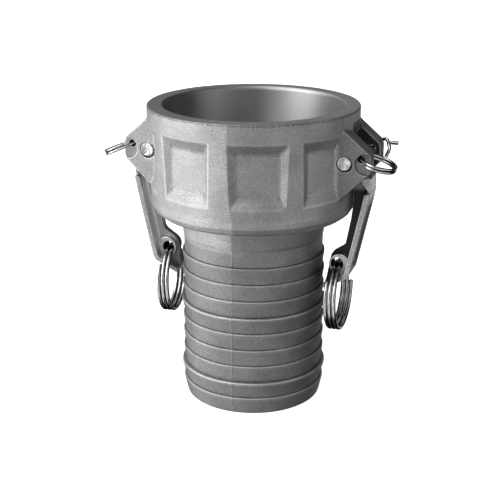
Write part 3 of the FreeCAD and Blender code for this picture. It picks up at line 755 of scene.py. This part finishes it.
def coil(centre, axis, xdir, mean, pitch, turns, start, per_turn=72):
    z = np.array(axis, float)
    z /= np.linalg.norm(z)
    x = np.array(xdir, float)
    x -= z * (x @ z)
    x /= np.linalg.norm(x)
    y = np.cross(z, x)
    n = int(turns * per_turn)
    t = np.linspace(0, turns, n + 1)
    a = start * RAD + 2 * math.pi * t
    off = pitch * (t - turns / 2)
    return (np.array(centre)[None, :] + mean * (np.cos(a)[:, None] * x + np.sin(a)[:, None] * y)
            + off[:, None] * z)


def pull_ring(name, side, yaw, sweep):
    c = (side * 32.45, 0, 53.9 - 12.3 - 0.55)
    axis = (math.cos(yaw * RAD), math.sin(yaw * RAD), 0)
    p, q, t, turn_side_shade = tube(coil(c, axis, (0, 0, 1), 12.3, 1.57, sweep / 360, 50.0), 0.75, 24, axis)
    return make_object(name, p, q, t, attrs={"turn_side_shade": turn_side_shade})


def lock_ring(name, side, droop):
    d = droop * RAD
    out = np.array([side * math.cos(d), 0, -math.sin(d)])
    c = np.array([side * 42.0, -9.25, 95.0]) + out * (6.2 - 0.62)
    axis = np.cross(out, (0, 1, 0))
    p, q, t, turn_side_shade = tube(coil(c, axis, out, 6.2, 1.1, 600 / 360, 240.0), 0.53, 24, axis)
    return make_object(name, p, q, t, attrs={"turn_side_shade": turn_side_shade})


def lock_pin(name, side):
    """Bent wire pin in the rear ear's hole, with its short stub."""
    top = 97.3 if side > 0 else 94.2
    corners = [(42.0, 6.2, 95.0), (42.0, 15.2, 95.0), (45.5, 14.9, top), (46.8, 12.9, 94.8 if side > 0 else 93.4),
               (47.3, 11.9, 93.8), (46.1, 11.2, 91.0)]
    path = [np.array(c, float) for c in corners]
    for _ in range(3):
        new = [path[0]]
        for a, b in zip(path[:-1], path[1:]):
            new += [a * 0.75 + b * 0.25, a * 0.25 + b * 0.75]
        path = new + [path[-1]]
    p, q, t, w = tube(np.array(path) * np.array([side, 1, 1]), 0.66, 24, (side, 0, 0.25))
    z1 = 95.9 if side > 0 else 94.0
    stub = np.linspace((46.1, 13.4, z1 - 0.1), (50.1, 12.7, z1), 12)
    p2, q2, t2, w2 = tube(stub * np.array([side, 1, 1]), 0.7, 24, (0, 0, 1))
    return make_object(name, np.concatenate([p, p2]), np.concatenate([q, q2 + len(p)]),
                       np.concatenate([t, t2 + len(p)]), attrs={"turn_side_shade": np.concatenate([w, w2])})


pins_r = {"lock_pin_right": lock_pin("lock_pin_r", 1), "lock_pin_left": lock_pin("lock_pin_l", -1)}
rings = {
    "pull_ring_right": pull_ring("pull_ring_r", 1, 0.0, 947.0),
    "pull_ring_left": pull_ring("pull_ring_l", -1, 6.0, 980.0),
    "lock_ring_right": lock_ring("lock_ring_r", 1, 16.5),
    "lock_ring_left": lock_ring("lock_ring_l", -1, 22.0),
}


# ---------------------------------------------------------------- materials
def new_material(name):
    m = bpy.data.materials.new(name)
    m.use_nodes = True
    nt = m.node_tree
    for n in list(nt.nodes):
        nt.nodes.remove(n)
    out = nt.nodes.new("ShaderNodeOutputMaterial")
    sh = nt.nodes.new("ShaderNodeBsdfPrincipled")
    nt.links.new(sh.outputs["BSDF"], out.inputs["Surface"])
    return m, nt, sh


def node(nt, kind, **settings):
    n = nt.nodes.new(kind)
    for k, v in settings.items():
        setattr(n, k, v)
    return n


def coords(nt):
    """Place on the piece, in millimetres."""
    tc = node(nt, "ShaderNodeTexCoord")
    mp = node(nt, "ShaderNodeMapping")
    mp.inputs["Scale"].default_value = (1000, 1000, 1000)
    nt.links.new(tc.outputs["Object"], mp.inputs["Vector"])
    return mp.outputs["Vector"]


def noise(nt, vec, scale, detail=3.0, rough=0.55, stretch=None):
    if stretch is not None:
        mp = node(nt, "ShaderNodeMapping")
        mp.inputs["Scale"].default_value = stretch
        nt.links.new(vec, mp.inputs["Vector"])
        vec = mp.outputs["Vector"]
    n = node(nt, "ShaderNodeTexNoise")
    n.inputs["Scale"].default_value = scale
    n.inputs["Detail"].default_value = detail
    n.inputs["Roughness"].default_value = rough
    nt.links.new(vec, n.inputs["Vector"])
    return n.outputs["Fac"]


def maths(nt, op, a, b=None, c=None, clamp=False):
    n = node(nt, "ShaderNodeMath", operation=op, use_clamp=clamp)
    for i, v in enumerate((a, b, c)):
        if v is None:
            continue
        if isinstance(v, (int, float)):
            n.inputs[i].default_value = v
        else:
            nt.links.new(v, n.inputs[i])
    return n.outputs[0]


def spread(nt, v, a0, a1, b0, b1):
    n = node(nt, "ShaderNodeMapRange")
    n.inputs["From Min"].default_value = a0
    n.inputs["From Max"].default_value = a1
    n.inputs["To Min"].default_value = b0
    n.inputs["To Max"].default_value = b1
    nt.links.new(v, n.inputs["Value"])
    return n.outputs["Result"]


def attribute(nt, name):
    n = node(nt, "ShaderNodeAttribute", attribute_name=name)
    return n.outputs["Fac"]


def grey(nt, v, tint=(1.0, 1.0, 1.0)):
    n = node(nt, "ShaderNodeCombineColor")
    for i in range(3):
        nt.links.new(v if tint[i] == 1.0 else maths(nt, "MULTIPLY", v, tint[i]), n.inputs[i])
    return n.outputs["Color"]


def bump(nt, sh, height, strength, distance, before=None):
    b = node(nt, "ShaderNodeBump")
    b.inputs["Strength"].default_value = strength
    b.inputs["Distance"].default_value = distance
    nt.links.new(height, b.inputs["Height"])
    if before is not None:
        nt.links.new(before, b.inputs["Normal"])
    if sh is not None:
        nt.links.new(b.outputs["Normal"], sh.inputs["Normal"])
    return b.outputs["Normal"]


# blasted casting, with the machined mouth and bore
cast, nt, sh = new_material("cast_metal")
v = coords(nt)
fine_n = noise(nt, v, 2.3, 3.0, 0.6)
speck = noise(nt, v, 4.2, 2.0, 0.6)
blot = noise(nt, v, 0.09, 4.0, 0.55)
edge_a = attribute(nt, "edge")
left_a = attribute(nt, "left")
marks_a = attribute(nt, "marks")
mach = attribute(nt, "machined")
bore_a = attribute(nt, "bore")
filed = noise(nt, v, 1.0, 3.0, 0.6, (0.16, 0.16, 2.6))
base = spread(nt, blot, 0.32, 0.68, 0.35, 0.44)
base = maths(nt, "MULTIPLY", base, spread(nt, fine_n, 0.3, 0.7, 0.74, 1.26))
base = maths(nt, "MULTIPLY", base, spread(nt, speck, 0.3, 0.7, 0.74, 1.26))
base = maths(nt, "MULTIPLY", base, spread(nt, left_a, 0, 1, 1.0, 1.36))
base = maths(nt, "MULTIPLY", base, attribute(nt, "tone_and_shade"))
base = maths(nt, "MULTIPLY", base, maths(nt, "ADD", 1.0, maths(nt, "MULTIPLY", marks_a, spread(nt, filed, 0.35, 0.65, -0.16, 0.16))))
# painted highlight on outward edges, painted shade in creases and along the dark lines
base = maths(nt, "MULTIPLY", base, spread(nt, edge_a, 0.25, 1.5, 1.0, 1.85))
base = maths(nt, "MULTIPLY", base, spread(nt, edge_a, -1.2, -0.2, 0.36, 1.0))
spots = spread(nt, noise(nt, v, 1.9, 1.0, 0.5), 0.60, 0.68, 0.0, 1.0)
base = maths(nt, "MULTIPLY", base, maths(nt, "ADD", 1.0, maths(nt, "MULTIPLY", spots, spread(nt, edge_a, -0.9, -0.1, 1.2, 0.03))))
# painted shade in the slots and the lock ring holes, and the darker ring round the pins' ends, kept off outward edges
slot_shade_pin_ring_mask = maths(nt, "SUBTRACT", attribute(nt, "slot_shade_pin_ring_mask"), spread(nt, edge_a, 0.2, 0.7, 0, 0.75), clamp=True)
base = maths(nt, "MULTIPLY", base, spread(nt, slot_shade_pin_ring_mask, 0, 1, 1.0, 0.2))
lines = noise(nt, v, 1.2, 3.0, 0.6, (0.05, 0.05, 5.0))
# the bore gets a lighter base than the rim: painted light on the bore wall
mbase = maths(nt, "MULTIPLY", spread(nt, bore_a, 0, 1, 0.45, 0.60), spread(nt, lines, 0.3, 0.7, 0.93, 1.07))
mbase = maths(nt, "MULTIPLY", mbase, attribute(nt, "tone_and_shade"))
mbase = maths(nt, "MULTIPLY", mbase, spread(nt, edge_a, -1.0, -0.1, 0.3, 1.0))
mixb = node(nt, "ShaderNodeMix", data_type="FLOAT")
nt.links.new(mach, mixb.inputs[0])
nt.links.new(base, mixb.inputs[2])
nt.links.new(mbase, mixb.inputs[3])
nt.links.new(grey(nt, maths(nt, "MINIMUM", mixb.outputs[0], 0.92)), sh.inputs["Base Color"])
sh.inputs["Metallic"].default_value = 1.0
rough = spread(nt, fine_n, 0.3, 0.7, 0.56, 0.68)
mixr = node(nt, "ShaderNodeMix", data_type="FLOAT")
nt.links.new(mach, mixr.inputs[0])
nt.links.new(rough, mixr.inputs[2])
nt.links.new(spread(nt, bore_a, 0, 1, 0.52, 0.44), mixr.inputs[3])
nt.links.new(mixr.outputs[0], sh.inputs["Roughness"])
nt.links.new(maths(nt, "MULTIPLY", bore_a, 0.9), sh.inputs["Anisotropic"])
sh.inputs["Anisotropic Rotation"].default_value = 0.25
tang = node(nt, "ShaderNodeTangent", direction_type="RADIAL", axis="Z")
nt.links.new(tang.outputs["Tangent"], sh.inputs["Tangent"])
grain = maths(nt, "ADD", maths(nt, "MULTIPLY", fine_n, 0.8), maths(nt, "MULTIPLY", speck, 0.6))
grain = maths(nt, "MULTIPLY", grain, spread(nt, mach, 0, 1, 1.0, 0.04))
grain = maths(nt, "MULTIPLY", grain, spread(nt, left_a, 0, 1, 1.0, 1.35))
grain = maths(nt, "ADD", grain, maths(nt, "MULTIPLY", filed, maths(nt, "MULTIPLY", marks_a, 0.9)))
grain = maths(nt, "ADD", grain, maths(nt, "MULTIPLY", lines, maths(nt, "MULTIPLY", mach, 0.035)))
bump(nt, sh, grain, 0.6, 0.00014)

# rubber
rubber, nt, sh = new_material("nitrile")
v = coords(nt)
n1 = noise(nt, v, 0.8, 4.0, 0.6)
nt.links.new(grey(nt, spread(nt, n1, 0.3, 0.7, 0.018, 0.034)), sh.inputs["Base Color"])
nt.links.new(spread(nt, n1, 0.3, 0.7, 0.5, 0.68), sh.inputs["Roughness"])
bump(nt, sh, n1, 0.2, 0.00005)

# arm: cast web, brushed edges, polished eye
armm, nt, sh = new_material("arm_metal")
v = coords(nt)
ground_a = attribute(nt, "ground")
edge_a = attribute(nt, "edge")
eye_a = attribute(nt, "eye")
fine_n = noise(nt, v, 1.6, 3.0, 0.6)
mpr = node(nt, "ShaderNodeMapping")
mpr.inputs["Rotation"].default_value = (0.5, 0.45, 0.0)
nt.links.new(v, mpr.inputs["Vector"])
strokes = noise(nt, mpr.outputs["Vector"], 1.0, 3.0, 0.7, (2.0, 0.3, 6.0))
base = maths(nt, "MULTIPLY", spread(nt, fine_n, 0.3, 0.7, 0.30, 0.40), attribute(nt, "tone_and_shade"))
bright = maths(nt, "ADD", spread(nt, strokes, 0.34, 0.66, 0.26, 0.88), maths(nt, "MULTIPLY", eye_a, 0.12))
mixb = node(nt, "ShaderNodeMix", data_type="FLOAT")
nt.links.new(ground_a, mixb.inputs[0])
nt.links.new(base, mixb.inputs[2])
nt.links.new(bright, mixb.inputs[3])
# painted highlight on outward edges, painted shade in creases and in the channel
val = maths(nt, "MULTIPLY", mixb.outputs[0], spread(nt, edge_a, 0.2, 1.2, 1.0, 1.35))
val = maths(nt, "MULTIPLY", val, spread(nt, edge_a, -1.2, -0.2, 0.6, 1.0))
val = maths(nt, "MULTIPLY", val, spread(nt, attribute(nt, "channel_shade"), 0, 1, 1.0, 0.45))
nt.links.new(grey(nt, maths(nt, "MINIMUM", val, 0.92)), sh.inputs["Base Color"])
sh.inputs["Metallic"].default_value = 1.0
mixr = node(nt, "ShaderNodeMix", data_type="FLOAT")
nt.links.new(ground_a, mixr.inputs[0])
nt.links.new(spread(nt, fine_n, 0.3, 0.7, 0.48, 0.60), mixr.inputs[2])
nt.links.new(spread(nt, strokes, 0.3, 0.7, 0.28, 0.44), mixr.inputs[3])
nt.links.new(mixr.outputs[0], sh.inputs["Roughness"])
hgt = maths(nt, "ADD", maths(nt, "MULTIPLY", fine_n, spread(nt, ground_a, 0, 1, 1.0, 0.1)),
            maths(nt, "MULTIPLY", strokes, maths(nt, "MULTIPLY", ground_a, 0.9)))
bump(nt, sh, hgt, 0.5, 0.0001)

# turned pin, its ends hammered
pinm, nt, sh = new_material("pin_metal")
v = coords(nt)
n1 = noise(nt, v, 1.5, 3.0, 0.7)
n2 = noise(nt, v, 3.6, 2.0, 0.6)
nt.links.new(grey(nt, spread(nt, maths(nt, "ADD", maths(nt, "MULTIPLY", n1, 0.6), maths(nt, "MULTIPLY", n2, 0.4)), 0.38, 0.56, 0.62, 1.0)), sh.inputs["Base Color"])
sh.inputs["Metallic"].default_value = 1.0
nt.links.new(spread(nt, n2, 0.3, 0.7, 0.26, 0.42), sh.inputs["Roughness"])
bump(nt, sh, maths(nt, "ADD", n1, maths(nt, "MULTIPLY", n2, 0.5)), 0.3, 0.00012)

# drawn wire, with painted shade on the sides that face the next turn
def wire_material(name, turns):
    m, nt, sh = new_material(name)
    v = coords(nt)
    n1 = noise(nt, v, 0.9, 3.0, 0.6)
    n2 = noise(nt, v, 5.0, 2.0, 0.5)
    base = spread(nt, n1, 0.3, 0.7, 0.55, 0.75) if turns else spread(nt, n1, 0.35, 0.65, 0.25, 0.85)
    n3 = noise(nt, v, 2.2, 2.0, 0.5)
    side = maths(nt, "ADD", attribute(nt, "turn_side_shade"), spread(nt, n3, 0.3, 0.7, -0.06, 0.06))
    base = maths(nt, "MULTIPLY", base, spread(nt, side, 0.42, 0.78, 1.0, 0.10))
    nt.links.new(grey(nt, base), sh.inputs["Base Color"])
    sh.inputs["Metallic"].default_value = 1.0
    nt.links.new(spread(nt, n2, 0.3, 0.7, 0.10, 0.18), sh.inputs["Roughness"])
    bump(nt, sh, n2, 0.15, 0.00003)
    return m


wirem = wire_material("wire_metal", True)
clipm = wire_material("clip_metal", False)


def dress(ob, mat, body, slot, *nodes):
    ob.data.materials.clear()
    ob.data.materials.append(mat)
    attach(ob, body)
    if nodes:
        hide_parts(*nodes)


dress(head, cast, "coupler", "cast_body", "coupler_body")
dress(shank, cast, "coupler", "cast_body", "coupler_body")
dress(gasket, rubber, "coupler", "gasket_rubber", "socket_gasket")
dress(arm_r, armm, "arm_right", "arm_steel", "cam_arm_right")
dress(arm_l, armm, "arm_left", "arm_steel", "cam_arm_left")
dress(pins["r"], pinm, "coupler", "pin_steel", "pivot_pin_right")
dress(pins["l"], pinm, "coupler", "pin_steel", "pivot_pin_left")
dress(rings["pull_ring_right"], wirem, "pull_right", "ring_steel", "pull_ring_right")
dress(rings["pull_ring_left"], wirem, "pull_left", "ring_steel", "pull_ring_left")
dress(rings["lock_ring_right"], wirem, "lockring_right", "ring_steel", "lock_ring_right")
dress(rings["lock_ring_left"], wirem, "lockring_left", "ring_steel", "lock_ring_left")
dress(pins_r["lock_pin_right"], clipm, "lockpin_right", "ring_steel", "lock_pin_right")
dress(pins_r["lock_pin_left"], clipm, "lockpin_left", "ring_steel", "lock_pin_left")

# ---------------------------------------------------------------- the studio
floor_me = bpy.data.meshes.new("floor")
k = 96
fv = [(6 * math.cos(2 * math.pi * i / k), 6 * math.sin(2 * math.pi * i / k), 0.0) for i in range(k)]
floor_me.from_pydata(fv, [], [list(range(k))])
floor = bpy.data.objects.new("floor", floor_me)
bpy.context.scene.collection.objects.link(floor)
floor.location = (0, 0, -0.00005)
fm = bpy.data.materials.new("floor_paper")
fm.use_nodes = True
nt = fm.node_tree
for n in list(nt.nodes):
    nt.nodes.remove(n)
out = nt.nodes.new("ShaderNodeOutputMaterial")
add = nt.nodes.new("ShaderNodeAddShader")
em = nt.nodes.new("ShaderNodeEmission")
em.inputs["Color"].default_value = (1, 1, 1, 1)
em.inputs["Strength"].default_value = 0.94
df = nt.nodes.new("ShaderNodeBsdfDiffuse")
df.inputs["Color"].default_value = (0.85, 0.85, 0.85, 1)
nt.links.new(em.outputs[0], add.inputs[0])
nt.links.new(df.outputs[0], add.inputs[1])
nt.links.new(add.outputs[0], out.inputs["Surface"])
floor_me.materials.append(fm)
floor.visible_diffuse = False
floor.visible_glossy = False

world = bpy.data.worlds.new("studio")
bpy.context.scene.world = world
world.use_nodes = True
nt = world.node_tree
for n in list(nt.nodes):
    nt.nodes.remove(n)
wo = nt.nodes.new("ShaderNodeOutputWorld")
bg = nt.nodes.new("ShaderNodeBackground")
tc = nt.nodes.new("ShaderNodeTexCoord")
nt.links.new(bg.outputs[0], wo.inputs["Surface"])


def facing(direction):
    d = np.array(direction, float)
    d /= np.linalg.norm(d)
    n = nt.nodes.new("ShaderNodeVectorMath")
    n.operation = "DOT_PRODUCT"
    nt.links.new(tc.outputs["Generated"], n.inputs[0])
    n.inputs[1].default_value = tuple(d)
    return n.outputs["Value"]


A = 17.5 * RAD
cam_right = np.array([math.cos(A), math.sin(A), 0.0])
cam_back = np.array([math.sin(A), -math.cos(A), 0.0])
# soft panels all round: angle from the front (minus is left), height, half width, strength
PANELS = [(-150, 5, 26, 0.19), (-95, 5, 26, 1.02), (-70, 5, 26, 2.02),
          (5, 5, 26, 0.12), (30, 5, 26, 0.48), (60, 5, 26, 0.68), (-100, 45, 28, 0.62),
          (-60, 45, 28, 2.3), (-20, 45, 28, 0.36), (20, 45, 28, 0.09), (60, 45, 28, 0.10),
          (-90, -35, 28, 1.14), (-45, -35, 28, 0.30), (0, -35, 28, 0.77), (135, -12, 25, 0.08),
          (142, -18, 13, 0.8), (0, 85, 30, 0.19), (180, 45, 35, 0.25)]
total = None
for az, el, half, power in PANELS:
    az, el = az * RAD, el * RAD
    d = ((cam_right * math.sin(az) + cam_back * math.cos(az)) * math.cos(el)
         + np.array([0, 0, 1.0]) * math.sin(el))
    m = nt.nodes.new("ShaderNodeMapRange")
    m.interpolation_type = "SMOOTHSTEP"
    m.inputs["From Min"].default_value = math.cos(half * 1.25 * RAD)
    m.inputs["From Max"].default_value = math.cos(half * 0.6 * RAD)
    m.inputs["To Min"].default_value = 0.0
    m.inputs["To Max"].default_value = power
    nt.links.new(facing(d), m.inputs["Value"])
    if total is None:
        total = m.outputs[0]
    else:
        n = nt.nodes.new("ShaderNodeMath")
        n.operation = "ADD"
        nt.links.new(total, n.inputs[0])
        nt.links.new(m.outputs[0], n.inputs[1])
        total = n.outputs[0]
n = nt.nodes.new("ShaderNodeMath")
n.operation = "ADD"
n.inputs[1].default_value = 0.015
nt.links.new(total, n.inputs[0])
nt.links.new(n.outputs[0], bg.inputs["Strength"])
bg.inputs["Color"].default_value = (1, 1, 1, 1)
plain = nt.nodes.new("ShaderNodeBackground")
plain.inputs["Color"].default_value = (1, 1, 1, 1)
plain.inputs["Strength"].default_value = 1.0
seen = nt.nodes.new("ShaderNodeLightPath")
mix = nt.nodes.new("ShaderNodeMixShader")
nt.links.new(seen.outputs["Is Camera Ray"], mix.inputs[0])
nt.links.new(bg.outputs[0], mix.inputs[1])
nt.links.new(plain.outputs[0], mix.inputs[2])
nt.links.new(mix.outputs[0], wo.inputs["Surface"])

# ---------------------------------------------------------------- the camera
cd = bpy.data.cameras.new("view")
cd.sensor_width = 36.0
cd.lens = 1141.8 / 500 * 36.0
cd.clip_start = 0.01
cd.clip_end = 20.0
cam = bpy.data.objects.new("view", cd)
pos = 0.4015 * cam_back - 0.00131 * cam_right + np.array([0, 0, 0.1887])
cam.location = tuple(pos)
cam.rotation_mode = "XYZ"
cam.rotation_euler = ((90 - 18.45) * RAD, 0, A)
bpy.context.scene.collection.objects.link(cam)
bpy.context.scene.camera = cam
bpy.context.scene.view_settings.view_transform = "Standard"
